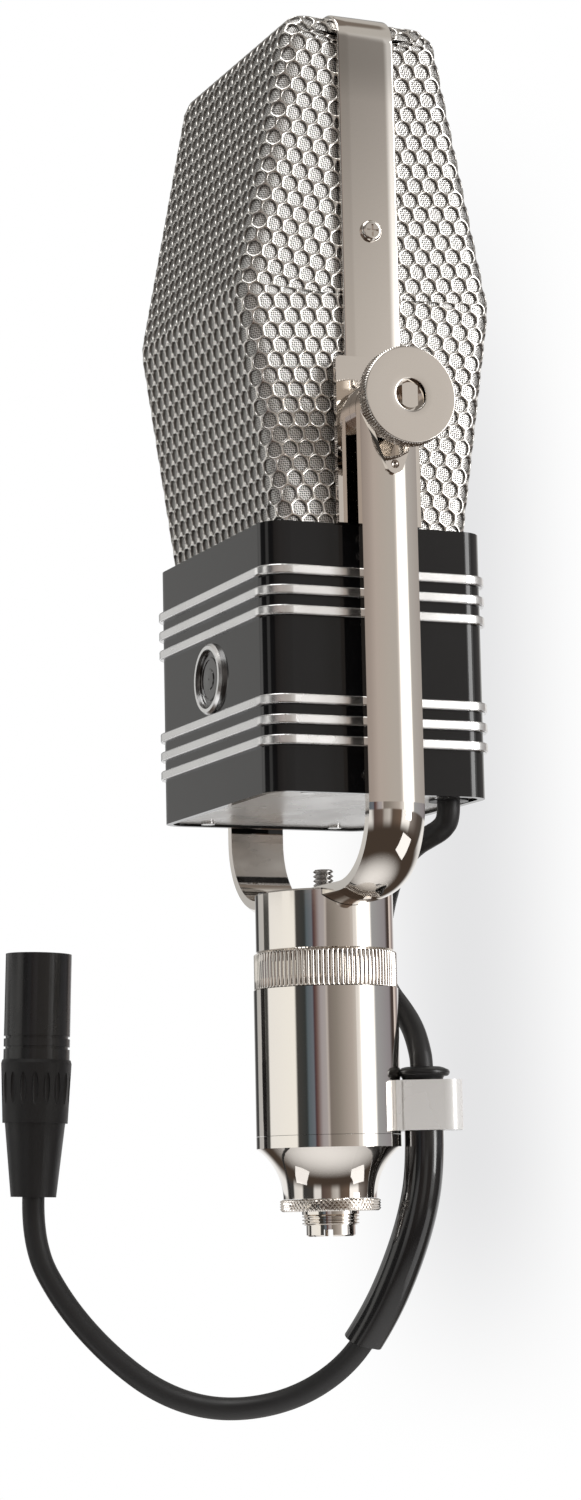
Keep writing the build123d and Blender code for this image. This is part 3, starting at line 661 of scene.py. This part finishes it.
def cloth_sheet(name, front):
    """Wire cloth behind the sheet, with a UV map in millimetres."""
    rows = int(PROFILE_LENGTH / CLOTH_STEP)
    half = int((side_room(PROFILE_LENGTH / 2) + CLOTH_SPARE) / CLOTH_STEP)
    verts, uvs, faces = [], [], []
    known, borders = {}, {}

    def corner(i, j, depth):
        key = (i, j, depth)
        if key not in known:
            u, v = i * CLOTH_STEP, j * CLOTH_STEP
            limit = side_room(v) + CLOTH_REACH
            u = max(-limit, min(limit, u))
            known[key] = len(verts)
            verts.append(grille_point(u, v, depth, front))
            uvs.append((u, v))
        return known[key]

    for j in range(rows):
        for i in range(-half, half):
            limit = min(side_room(j * CLOTH_STEP), side_room((j + 1) * CLOTH_STEP)) + CLOTH_REACH
            if min(abs(i), abs(i + 1)) * CLOTH_STEP >= limit:
                continue
            places = ((i, j), (i + 1, j), (i + 1, j + 1), (i, j + 1))
            outer = [corner(*place, CLOTH_FROM) for place in places]
            inner = [corner(*place, CLOTH_TO) for place in places]
            faces += [tuple(outer), tuple(reversed(inner))]
            for k in range(4):
                n = (k + 1) % 4
                wall = (outer[n], outer[k], inner[k], inner[n])
                borders.setdefault(frozenset((outer[k], outer[n])), []).append(wall)
    faces += [walls[0] for walls in borders.values() if len(walls) == 1]
    mesh = bpy.data.meshes.new(name)
    mesh.from_pydata([tuple(p) for p in verts], [], faces)
    layer = mesh.uv_layers.new(name="UVMap")
    for loop in mesh.loops:
        layer.data[loop.index].uv = uvs[loop.vertex_index]
    for polygon in mesh.polygons:
        polygon.use_smooth = True
    work = bmesh.new()
    work.from_mesh(mesh)
    bmesh.ops.recalc_face_normals(work, faces=work.faces)
    work.to_mesh(mesh)
    work.free()
    piece = bpy.data.objects.new(name, mesh)
    bpy.context.collection.objects.link(piece)
    return piece


def shade_hole_walls(sheet, cell_faces):
    """Rougher metal on the walls inside the holes, its darker colour painted shade in the holes."""
    sheet.data.materials.append(HOLE_WALL_PAINTED_SHADE)
    for polygon in sheet.data.polygons:
        if polygon.index < cell_faces and polygon.index // CELL_SIDES % ROUNDS == WALL_ROUND:
            polygon.material_index = 1


def make_grille():
    """Front and rear halves, each a perforated sheet over wire cloth."""
    for front, word in ((True, "front"), (False, "rear")):
        sheet, cell_faces = perforated_sheet("perforated_" + word, front)
        finish_piece(sheet, MATERIALS["grille_nickel"], "head", "grille_nickel", "grille_" + word)
        shade_hole_walls(sheet, cell_faces)
        cloth = cloth_sheet("woven_" + word, front)
        finish_piece(cloth, MATERIALS["wire_cloth"], "head", "wire_cloth", "wire_cloth_" + word)


make_grille()


# ---- turned pieces ----------------------------------------------------------------------------
def turned_mesh(name, outline, sides, relief=None, place=Matrix.Identity(4), smooth_angle=35.0):
    """Ring turned about Z from a closed outline; relief(angle, radius, height) adds to the radius."""
    verts = []
    for radius, height in outline:
        for j in range(sides):
            a = 2 * math.pi * j / sides
            reach = radius + (relief(a, radius, height) if relief else 0.0)
            verts.append(place @ (Vector((reach * math.cos(a), reach * math.sin(a), height)) * MM))
    faces = ring_faces(len(outline), sides)
    last = (len(outline) - 1) * sides
    for j in range(sides):
        k = (j + 1) % sides
        faces.append((last + j, last + k, k, j))
    return add_mesh(name, verts, faces, smooth_angle)


def rounded_corner(center, radius, start, end, parts=6):
    """Arc of an outline, angles in degrees."""
    points = []
    for i in range(parts + 1):
        a = math.radians(start + (end - start) * i / parts)
        points.append((center[0] + radius * math.cos(a), center[1] + radius * math.sin(a)))
    return points


RING_R, RING_LOW, RING_HIGH = 13.65, 6.85, 10.2
RING_BORE = 8.0
RING_EDGE = 0.3             # plain edge above and below the knurl
KNURL_LINES = 20
KNURL_COUNT = 66
KNURL_ROW = 1.4
KNURL_DEPTH = 0.7


def diamond_knurl(angle, radius, height):
    """Crossed knurl on the stand ring's rim."""
    if radius < RING_R - 0.02:
        return 0.0
    around = angle * KNURL_COUNT / (2 * math.pi)
    up = (height - RING_LOW) / KNURL_ROW
    one = abs((around + up) % 1.0 - 0.5)
    two = abs((around - up) % 1.0 - 0.5)
    return -KNURL_DEPTH * (2 * max(one, two) - 0.5)


def make_stand_ring():
    """Lock ring on the stand thread, its rim knurled in diamonds."""
    low, high = RING_LOW + RING_EDGE, RING_HIGH - RING_EDGE
    outline = [(RING_BORE, RING_LOW), (RING_R - 0.5, RING_LOW)]
    outline += [(RING_R, low + (high - low) * i / KNURL_LINES) for i in range(KNURL_LINES + 1)]
    outline += [(RING_R - 0.5, RING_HIGH), (RING_BORE, RING_HIGH)]
    ring = turned_mesh("knurled_stand_ring", outline, KNURL_COUNT * 10, diamond_knurl, smooth_angle=28.0)
    finish_piece(ring, MATERIALS["nickel"], "stand_ring", "nickel", "stand_lock_ring")


FLUTED_R, FLUTED_LOW, FLUTED_HIGH = 19.95, 68.1, 78.1
FLUTED_BORE = 17.56
FLUTES = 90
FLUTE_DEPTH = 0.75
FLUTE_END = 0.55        # length over which a flute runs out
FLUTE_CURVE = 2.2


def flute(angle, radius, height):
    """Rounded flutes that run out at both ends of the ring."""
    if radius < FLUTED_R - 0.5:
        return 0.0
    end = min(height - FLUTED_LOW, FLUTED_HIGH - height)
    depth = FLUTE_DEPTH * min(1.0, max(0.0, end / FLUTE_END))
    wave = (angle * FLUTES / (2 * math.pi)) % 1.0
    return -depth * (2 * abs(wave - 0.5)) ** FLUTE_CURVE


def make_fluted_ring():
    """Ring nut at the top of the barrel, fluted all round."""
    low, high = FLUTED_LOW, FLUTED_HIGH
    outline = [(FLUTED_BORE, low), (FLUTED_R - 0.35, low), (FLUTED_R - 0.08, low + 0.12)]
    outline += [(FLUTED_R, low + t) for t in (0.35, 0.6, 3.3, 6.6)]
    outline += [(FLUTED_R, high - t) for t in (0.6, 0.35)]
    outline += [(FLUTED_R - 0.08, high - 0.12), (FLUTED_R - 0.35, high), (FLUTED_BORE, high)]
    ring = turned_mesh("fluted_ring_nut", outline, FLUTES * 10, flute, smooth_angle=32.0)
    finish_piece(ring, MATERIALS["nickel"], "fluted_ring", "nickel", "fluted_lock_ring")


KNOB_R = 13.55
KNOB_TEETH = 110
KNOB_TOOTH = 0.30
KNOB_OUTER_X, KNOB_RIM_T, KNOB_HUB_X = 65.3, 4.6, 54.32
KNOB_HUB_R, KNOB_BORE, KNOB_RECESS = 7.6, 3.57, (4.4, 3.0)
PIVOT_Z = 222.8


def knob_tooth(angle, radius, height):
    """Straight knurl on the knob's rim."""
    if radius < KNOB_R - 0.02:
        return 0.0
    wave = (angle * KNOB_TEETH / (2 * math.pi)) % 1.0
    return -KNOB_TOOTH * 2 * abs(wave - 0.5)


def make_knob(word, side):
    """Thumb nut: slightly crowned face, fine-toothed rim between two bevels, hub and central recess."""
    face, back = KNOB_OUTER_X, KNOB_OUTER_X - KNOB_RIM_T
    recess_r, recess_depth = KNOB_RECESS
    outline = [(KNOB_BORE, KNOB_HUB_X), (KNOB_HUB_R - 0.3, KNOB_HUB_X), (KNOB_HUB_R, KNOB_HUB_X + 0.3)]
    outline += [(KNOB_HUB_R, back - 0.5), (KNOB_HUB_R + 0.5, back)]
    outline += [(KNOB_R - 0.5, back), (KNOB_R - 0.35, back + 0.1), (KNOB_R, back + 0.4)]
    outline += [(KNOB_R, face - 0.5), (KNOB_R - 0.35, face - 0.2)]
    outline += rounded_corner((KNOB_R - 0.6, face - 0.235), 0.22, 20, 90)
    outline += [(KNOB_R - 0.68, face - 0.014), (KNOB_R - 0.9, face - 0.013)]
    outline += [(r, face - 0.05 + 0.04 * (r / KNOB_R)) for r in (10.0, 8.0, 6.5, recess_r + 0.5)]
    outline += rounded_corner((recess_r + 0.15, face - 0.2), 0.15, 90, 180, 3)
    outline += [(recess_r, face - recess_depth), (KNOB_BORE, face - recess_depth)]
    place = Matrix.Translation((0, 0, PIVOT_Z * MM)) @ Matrix.Rotation(side * math.pi / 2, 4, "Y")
    knob = turned_mesh("knurled_knob_" + word, outline, KNOB_TEETH * 8, knob_tooth, place, 30.0)
    finish_piece(knob, MATERIALS["nickel"], "knob_" + word, "nickel", "knob_" + word)


GROMMET_XY = (10.7, 24.1)
GROMMET_LOW, GROMMET_HIGH, GROMMET_R = 42.32, 46.1, 7.55
NECK_R, NECK_LOW, GROMMET_BORE = 4.75, 28.55, 3.27
BARREL_CLEAR = 20.24


def make_grommet():
    """Rubber bush: a domed flange with a waist under it, flattened where it meets the barrel."""
    low, high, radius = GROMMET_LOW, GROMMET_HIGH, GROMMET_R
    outline = [(GROMMET_BORE, NECK_LOW), (NECK_R, NECK_LOW), (NECK_R, low), (radius - 1.7, low)]
    outline += [(radius - 1.9, low + 0.5), (radius - 1.5, low + 1.15)]
    outline += rounded_corner((radius - 1.0, low + 2.1), 1.0, -70, 80, 12)
    outline += [(radius - 1.6, high - 0.32), (5.0, high - 0.05), (4.2, high), (GROMMET_BORE, high - 0.25)]
    center = Vector((*GROMMET_XY, 0.0)) * MM
    bush = turned_mesh("flanged_grommet", outline, 96, None, Matrix.Translation(center), 50.0)
    for vert in bush.data.vertices:
        reach = math.hypot(vert.co.x, vert.co.y)
        if reach < BARREL_CLEAR * MM:
            vert.co.x *= BARREL_CLEAR * MM / reach
            vert.co.y *= BARREL_CLEAR * MM / reach
    finish_piece(bush, MATERIALS["black_rubber"], "stand", "black_rubber", "cable_grommet")


# ---- strap and badge --------------------------------------------------------------------------
STRAP_HALF_Y, STRAP_X, STRAP_TOP, STRAP_T, STRAP_BEND = 8.5, 41.95, 338.45, 1.55, 9.5
STRAP_EDGE = 0.7
STRAP_SIDE_STEPS, STRAP_BEND_STEPS, STRAP_TOP_STEPS = 8, 12, 4


def strap_path():
    """Outer line of the strap from the base on the left to the base on the right, with outward normals."""
    x, top, bend = STRAP_X, STRAP_TOP, STRAP_BEND
    rise, across = top - bend - BASE_TOP, 2 * x - 2 * bend
    heights = [BASE_TOP + rise * i / STRAP_SIDE_STEPS for i in range(STRAP_SIDE_STEPS + 1)]
    line = [((-x, z), (-1.0, 0.0)) for z in heights]
    for i in range(1, STRAP_BEND_STEPS):
        a = math.pi - math.pi / 2 * i / STRAP_BEND_STEPS
        c, s = math.cos(a), math.sin(a)
        line.append(((-x + bend + bend * c, top - bend + bend * s), (c, s)))
    mirrored = [((-px, pz), (-nx, nz)) for (px, pz), (nx, nz) in reversed(line)]
    places = [-x + bend + across * i / STRAP_TOP_STEPS for i in range(STRAP_TOP_STEPS + 1)]
    return line + [((px, top), (0.0, 1.0)) for px in places] + mirrored


def make_strap():
    """Polished band over the grille, its outer edges rolled over."""
    edge, half, thick = STRAP_EDGE, STRAP_HALF_Y, STRAP_T
    section = [(-half, -thick), (-half, -edge - 0.2)]
    section += rounded_corner((-half + edge, -edge), edge, 180, 90, 5)
    section += [(-half * 0.6, 0.015), (0.0, 0.03), (half * 0.6, 0.015)]
    section += rounded_corner((half - edge, -edge), edge, 90, 0, 5)
    section += [(half, -edge - 0.2), (half, -thick)]
    verts = []
    path = strap_path()
    for (px, pz), (nx, nz) in path:
        verts += [Vector((px + nx * lift, y, pz + nz * lift)) * MM for y, lift in section]
    count = len(section)
    faces = ring_faces(len(path), count)
    faces += [tuple(range(count)), tuple(range(len(verts) - count, len(verts)))]
    band = add_mesh("rolled_strap", verts, faces, 40.0)
    finish_piece(band, MATERIALS["nickel"], "head", "nickel", "grille_strap")


BADGE_Z, BADGE_FACE_Y, BADGE_R = 154.3, -32.8, 8.25
BADGE_STEPS = [(8.2, 0.55), (7.4, 0.62), (7.3, 0.35), (6.2, 0.35), (6.1, 0.6), (5.5, 0.62), (5.4, 0.4),
               (3.0, 0.42), (2.8, 0.66), (0.9, 0.74)]


def make_badge():
    """Black disc with two raised rings and a boss, plain of any mark."""
    outline = [(0.25, 0.0), (BADGE_R, 0.0), (BADGE_R, 0.45)] + BADGE_STEPS + [(0.25, 0.75)]
    place = Matrix.Translation((0, BADGE_FACE_Y * MM, BADGE_Z * MM)) @ Matrix.Rotation(math.pi / 2, 4, "X")
    disc = turned_mesh("badge_ringed_disc", outline, 96, None, place, 25.0)
    finish_piece(disc, MATERIALS["badge_black"], "head", "badge_black", "badge_disc")


make_stand_ring()
make_fluted_ring()
make_knob("right", 1)
make_knob("left", -1)
make_grommet()
make_strap()
make_badge()


# ---- world, floor, lights ---------------------------------------------------------------------
# Studio by azimuth in degrees, at three heights: round the shank, round the head, and under the horizon.
SHANK_BANDS = [
    (-180, (0.06, 0.06, 0.06)), (-169, (0.06, 0.06, 0.06)), (-167, (0.50, 0.50, 0.49)),
    (-147, (0.55, 0.54, 0.52)), (-145, (0.07, 0.07, 0.065)), (-131, (0.07, 0.07, 0.065)),
    (-128.5, (0.95, 0.94, 0.91)), (-75, (1.02, 1.00, 0.94)), (-72.5, (0.065, 0.062, 0.058)),
    (-57, (0.04, 0.045, 0.045)), (-54, (0.11, 0.14, 0.16)), (-45, (0.16, 0.18, 0.21)),
    (-43, (0.07, 0.03, 0.035)), (-39, (0.17, 0.11, 0.10)), (-32, (0.40, 0.37, 0.38)),
    (-25, (0.44, 0.41, 0.41)), (-23, (0.60, 0.55, 0.52)), (-20, (0.22, 0.19, 0.17)),
    (-8, (0.28, 0.25, 0.22)), (18, (0.50, 0.45, 0.41)), (30, (0.90, 0.87, 0.83)),
    (33, (1.60, 1.58, 1.55)), (57, (1.60, 1.58, 1.55)), (61, (0.38, 0.39, 0.40)),
    (96, (0.30, 0.28, 0.30)), (103, (0.06, 0.045, 0.04)), (111, (0.07, 0.05, 0.045)),
    (114, (0.90, 0.80, 0.74)), (126, (0.24, 0.19, 0.19)), (142, (0.90, 0.90, 0.90)),
    (157, (0.90, 0.90, 0.90)), (177, (0.10, 0.10, 0.10)),
]
HEAD_BANDS = [
    (-180, (0.30, 0.30, 0.29)), (-170, (0.55, 0.55, 0.54)), (-156, (0.66, 0.65, 0.63)),
    (-147, (0.66, 0.65, 0.63)), (-141, (1.10, 1.08, 1.05)), (-131, (1.10, 1.08, 1.05)),
    (-127, (0.08, 0.08, 0.08)), (-100, (0.06, 0.06, 0.06)), (-96, (0.90, 0.88, 0.85)),
    (-84, (0.90, 0.88, 0.85)), (-80, (0.07, 0.07, 0.07)), (-60, (0.07, 0.06, 0.06)),
    (-54, (0.34, 0.29, 0.26)), (-30, (0.50, 0.44, 0.40)), (0, (0.50, 0.46, 0.42)),
    (22, (0.50, 0.465, 0.43)), (27, (0.66, 0.62, 0.58)), (31, (1.50, 1.47, 1.43)),
    (60, (1.60, 1.58, 1.54)), (65, (0.50, 0.48, 0.46)), (100, (0.42, 0.39, 0.37)),
    (112, (0.30, 0.28, 0.27)), (118, (0.95, 0.93, 0.90)), (136, (0.95, 0.93, 0.90)),
    (142, (0.30, 0.30, 0.29)), (156, (0.90, 0.90, 0.90)), (172, (0.30, 0.30, 0.30)),
]
LOW_BANDS = [
    (-180, (0.95, 0.95, 0.95)), (-152, (0.95, 0.95, 0.95)), (-146, (0.05, 0.05, 0.05)),
    (-124, (0.05, 0.05, 0.05)), (-120, (0.80, 0.79, 0.77)), (-96, (0.90, 0.88, 0.85)),
    (-92, (0.05, 0.05, 0.05)), (-66, (0.06, 0.055, 0.05)), (-62, (0.85, 0.84, 0.82)),
    (-48, (0.85, 0.84, 0.82)), (-44, (0.10, 0.07, 0.06)), (-24, (0.16, 0.12, 0.10)),
    (-18, (0.45, 0.42, 0.39)), (-6, (0.60, 0.57, 0.54)), (2, (0.12, 0.09, 0.07)),
    (24, (0.17, 0.12, 0.09)), (28, (1.20, 1.18, 1.15)), (48, (1.20, 1.18, 1.15)),
    (52, (0.30, 0.27, 0.25)), (74, (0.10, 0.08, 0.07)), (92, (0.08, 0.07, 0.06)),
    (98, (0.95, 0.95, 0.95)), (180, (0.95, 0.95, 0.95)),
]
OVERHEAD = (0.52, 0.50, 0.47)
UNDERSIDE = (-0.46, -0.22)
UNDERSIDE_COLOR = (0.065, 0.048, 0.037)
HORIZON = (-0.015, -0.05)       # heights are sines of the elevation
SHANK_TO_HEAD = (0.092, 0.115)
BANDS_END = (0.24, 0.38)
BANDS_LEFT = 0.42
OVERHEAD_FROM = (0.50, 0.75)
CEILING = (0.20, 0.17, 0.145)
CEILING_FROM = (0.88, 0.92)
BACKDROP_SHADE = 0.78           # soft shadow seen on the backdrop beside the microphone
SHADE_AZIMUTH = 153.8
SHADE_WIDTH = 2.7
SHADE_HEIGHTS = (-0.075, 0.02, 0.20, 0.34)


def make_world():
    """Banded studio for light and reflections, and a white backdrop for the camera."""
    world = bpy.data.worlds.new("studio")
    world.use_nodes = True
    bpy.context.scene.world = world
    world.node_tree.nodes.clear()
    make = NodeMaker(world.node_tree)
    place = make.nodes.new("ShaderNodeTexCoord")
    split = make.nodes.new("ShaderNodeSeparateXYZ")
    make.links.new(place.outputs["Generated"], split.inputs["Vector"])
    height = split.outputs["Z"]
    azimuth = make.math("ARCTAN2", split.outputs["Y"], split.outputs["X"])
    share = make.math("MULTIPLY_ADD", azimuth, 0.5 / math.pi, 0.5)

    shank = make.ramp(share, SHANK_BANDS)
    upper = make.mix(make.span(height, *SHANK_TO_HEAD), shank, make.ramp(share, HEAD_BANDS))
    dimmed = make.mix(make.span(height, *BANDS_END, 1.0, BANDS_LEFT), (0.0, 0.0, 0.0, 1.0), upper)
    overhead = make.mix(make.span(height, *OVERHEAD_FROM), dimmed, (*OVERHEAD, 1.0))
    topped = make.mix(make.span(height, *CEILING_FROM), overhead, (*CEILING, 1.0))
    under = make.mix(make.span(height, *UNDERSIDE), (*UNDERSIDE_COLOR, 1.0), make.ramp(share, LOW_BANDS))
    lit = make.mix(make.span(height, HORIZON[1], HORIZON[0], 1.0, 0.0), topped, under)

    aside = make.math("SUBTRACT", make.math("MULTIPLY", azimuth, 180 / math.pi), SHADE_AZIMUTH)
    near = make.span(make.math("ABSOLUTE", aside), 0.0, SHADE_WIDTH, 1.0, 0.0)
    low, low_end, high, high_end = SHADE_HEIGHTS
    rising = make.span(height, low, low_end)
    tall = make.math("MULTIPLY", rising, make.span(height, high, high_end, 1.0, 0.0))
    shade = make.math("MULTIPLY", near, tall)
    gray = (BACKDROP_SHADE, BACKDROP_SHADE, BACKDROP_SHADE * 1.01, 1.0)
    backdrop = make.mix(shade, (1.0, 1.0, 1.0, 1.0), gray)

    ray = make.nodes.new("ShaderNodeLightPath")
    choose = make.nodes.new("ShaderNodeMixShader")
    out = make.nodes.new("ShaderNodeOutputWorld")
    make.links.new(ray.outputs["Is Camera Ray"], choose.inputs["Fac"])
    make.links.new(make.background(lit), choose.inputs[1])
    make.links.new(make.background(backdrop), choose.inputs[2])
    make.links.new(choose.outputs["Shader"], out.inputs["Surface"])


LIGHTS_AIM = Vector((0.0, 0.0, 0.15))


def area_light(name, azimuth, elevation, distance, width, height, watts):
    """Softbox that looks at the microphone's middle from an azimuth and elevation in degrees."""
    data = bpy.data.lights.new(name, "AREA")
    data.shape = "RECTANGLE"
    data.size = width
    data.size_y = height
    data.energy = watts
    a, e = math.radians(azimuth), math.radians(elevation)
    direction = Vector((math.cos(a) * math.cos(e), math.sin(a) * math.cos(e), math.sin(e)))
    light = bpy.data.objects.new(name, data)
    light.location = LIGHTS_AIM + direction * distance
    light.rotation_euler = direction.to_track_quat("Z", "Y").to_euler()
    bpy.context.collection.objects.link(light)


FLOOR_Z = -0.11
FLOOR_R = 0.24
FLOOR_SIDES = 96
FLOOR_GLOW = 0.32
FLOOR_FADE = (0.35, 0.95)   # shares of its radius between which it fades out


def make_floor():
    """Round pale floor under the held microphone, fading out at its edge."""
    angles = [2 * math.pi * j / FLOOR_SIDES for j in range(FLOOR_SIDES)]
    verts = [Vector((FLOOR_R * math.cos(a), FLOOR_R * math.sin(a), FLOOR_Z)) for a in angles]
    floor = add_mesh("floor", verts, [tuple(range(FLOOR_SIDES))])
    material, nodes, links, shader = new_material("pale_floor")
    shader.inputs["Base Color"].default_value = (0.93, 0.93, 0.93, 1.0)
    shader.inputs["Roughness"].default_value = 0.9
    shader.inputs["Specular IOR Level"].default_value = 0.0
    shader.inputs["Emission Color"].default_value = (1.0, 1.0, 1.0, 1.0)
    shader.inputs["Emission Strength"].default_value = FLOOR_GLOW
    place = nodes.new("ShaderNodeTexCoord")
    gradient = nodes.new("ShaderNodeVectorMath")
    gradient.operation = "LENGTH"
    links.new(place.outputs["Object"], gradient.inputs[0])
    fade = nodes.new("ShaderNodeMapRange")
    fade.interpolation_type = "SMOOTHSTEP"
    fade.inputs["From Min"].default_value = FLOOR_R * FLOOR_FADE[0]
    fade.inputs["From Max"].default_value = FLOOR_R * FLOOR_FADE[1]
    fade.inputs["To Min"].default_value = 1.0
    fade.inputs["To Max"].default_value = 0.0
    links.new(gradient.outputs["Value"], fade.inputs["Value"])
    links.new(fade.outputs["Result"], shader.inputs["Alpha"])
    floor.data.materials.append(material)


make_world()
make_floor()
area_light("key", 44, 12, 1.3, 0.35, 1.2, 9.0)
area_light("low_right", 50, -40, 1.0, 0.48, 0.40, 0.7)
area_light("low_left", -98, -40, 1.0, 0.48, 0.40, 0.6)
area_light("top", -60, 70, 1.2, 0.8, 0.8, 6.0)
bpy.context.scene.view_settings.view_transform = "Standard"
